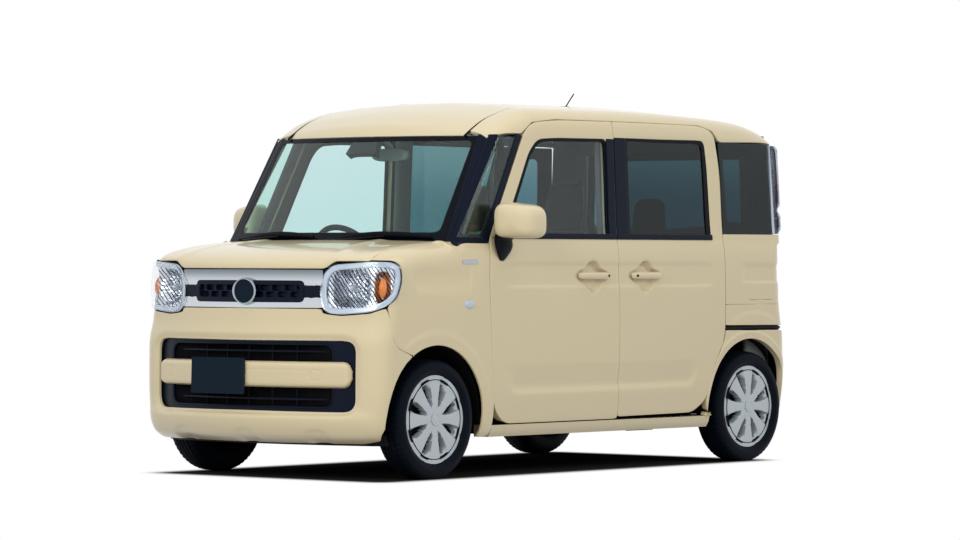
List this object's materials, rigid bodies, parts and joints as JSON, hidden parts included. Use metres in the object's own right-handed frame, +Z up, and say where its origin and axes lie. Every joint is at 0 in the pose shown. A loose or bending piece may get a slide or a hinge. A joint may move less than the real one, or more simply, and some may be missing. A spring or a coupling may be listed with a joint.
{
  "type": "five-door kei car",
  "caption": "Tall boxy kei car with hinged front doors, bonnet and tailgate, sliding rear doors, a steered front axle and free-turning wheels.",
  "frame": {"origin": "on the ground under the middle of the car's box", "axes": "+Z up, the nose towards -Y, the car's left side towards +X"},
  "size_m": [1.756, 3.385, 1.8471],
  "materials": {
    "body_paint": "gloss cream paint",
    "tyre": "matt rubber",
    "wheel_silver": "satin silver",
    "glass": "tinted glass",
    "lamp_clear": "clear lens",
    "lamp_red": "red lens",
    "chrome": "bright chrome",
    "black_plastic": "black moulded plastic",
    "dash_plastic": "dark grain",
    "seat_fabric": "dark woven fabric",
    "underbody": "black underseal",
    "cast_iron": "raw casting",
    "bare_metal": "bare metal"
  },
  "bodies": {
    "chassis": {"body_side_left": "body_paint", "body_side_right": "body_paint", "roof_panel": "body_paint", "firewall_cowl": "black_plastic", "floor_pan": "underbody", "fender_left": "body_paint", "fender_right": "body_paint", "front_bumper": "body_paint", "bumper_bar": "body_paint", "lower_grille": "black_plastic", "upper_grille": "chrome", "headlamps": "lamp_clear", "tail_lamps": "lamp_red", "rear_bumper": "body_paint", "windscreen": "glass", "side_glass": "glass", "sliding_door_left": "body_paint", "sliding_door_right": "body_paint", "antenna": "black_plastic", "front_frame": "underbody", "radiator": "bare_metal", "front_subframe": "underbody", "engine_block": "cast_iron", "fuel_tank": "underbody", "exhaust": "bare_metal", "rear_axle": "underbody", "dashboard": "dash_plastic", "front_seats": "seat_fabric", "rear_seats": "seat_fabric"},
    "door_front_left": {"front_door_left": "body_paint", "front_door_glass_left": "glass", "mirror_left": "body_paint"},
    "door_front_right": {"front_door_right": "body_paint", "front_door_glass_right": "glass", "mirror_right": "body_paint"},
    "bonnet_lid": {"bonnet": "body_paint"},
    "tailgate_lid": {"tailgate": "body_paint", "tailgate_glass": "glass"},
    "fuel_flap": {"fuel_lid": "body_paint"},
    "steering": {"steering_wheel": "black_plastic"},
    "knuckle_fl": {"knuckle_left": "cast_iron"},
    "knuckle_fr": {"knuckle_right": "cast_iron"},
    "wheel_fl": {"wheel_front_left": "wheel_silver", "tyre_front_left": "tyre"},
    "wheel_fr": {"wheel_front_right": "wheel_silver", "tyre_front_right": "tyre"},
    "wheel_rl": {"wheel_rear_left": "wheel_silver", "tyre_rear_left": "tyre"},
    "wheel_rr": {"wheel_rear_right": "wheel_silver", "tyre_rear_right": "tyre"}
  },
  "joints": [
    {"name": "steer_left", "type": "hinge", "parent": "chassis", "child": "knuckle_fl", "pos_m": [0.6, -1.14, 0.204], "axis": [-0.1377, 0.0531, 0.989], "range_deg": [-38, 38]},
    {"name": "steer_right", "type": "hinge", "parent": "chassis", "child": "knuckle_fr", "pos_m": [-0.6, -1.14, 0.204], "axis": [0.1377, 0.0531, 0.989], "range_deg": [-38, 38]},
    {"name": "steering_wheel_turn", "type": "hinge", "parent": "chassis", "child": "steering", "pos_m": [-0.35, -0.52, 0.985], "axis": [0, 0.829, 0.5593], "range_deg": [-540, 540]},
    {"name": "spin_fl", "type": "hinge", "parent": "knuckle_fl", "child": "wheel_fl", "pos_m": [0.6475, -1.14, 0.276], "axis": [1, 0, 0], "continuous": true},
    {"name": "spin_fr", "type": "hinge", "parent": "knuckle_fr", "child": "wheel_fr", "pos_m": [-0.6475, -1.14, 0.276], "axis": [1, 0, 0], "continuous": true},
    {"name": "spin_rl", "type": "hinge", "parent": "chassis", "child": "wheel_rl", "pos_m": [0.6475, 1.32, 0.276], "axis": [1, 0, 0], "continuous": true},
    {"name": "spin_rr", "type": "hinge", "parent": "chassis", "child": "wheel_rr", "pos_m": [-0.6475, 1.32, 0.276], "axis": [1, 0, 0], "continuous": true},
    {"name": "door_left_swing", "type": "hinge", "parent": "chassis", "child": "door_front_left", "pos_m": [0.7385, -0.766, 0.9], "axis": [0, 0, -1], "range_deg": [0, 65]},
    {"name": "door_right_swing", "type": "hinge", "parent": "chassis", "child": "door_front_right", "pos_m": [-0.7385, -0.766, 0.9], "axis": [0, 0, 1], "range_deg": [0, 65]},
    {"name": "bonnet_lift", "type": "hinge", "parent": "chassis", "child": "bonnet_lid", "pos_m": [0, -1.045, 1.105], "axis": [-1, 0, 0], "range_deg": [0, 55]},
    {"name": "tailgate_lift", "type": "hinge", "parent": "chassis", "child": "tailgate_lid", "pos_m": [0, 1.5, 1.702], "axis": [1, 0, 0], "range_deg": [0, 82]},
    {"name": "fuel_lid_swing", "type": "hinge", "parent": "chassis", "child": "fuel_flap", "pos_m": [0.7385, 1.283, 0.892], "axis": [0, 0, -1], "range_deg": [0, 100]}
  ],
  "couplings": [
    {"joint": "steer_right", "follows": "steer_left", "ratio": 1},
    {"joint": "steering_wheel_turn", "follows": "steer_left", "ratio": 14}
  ]
}
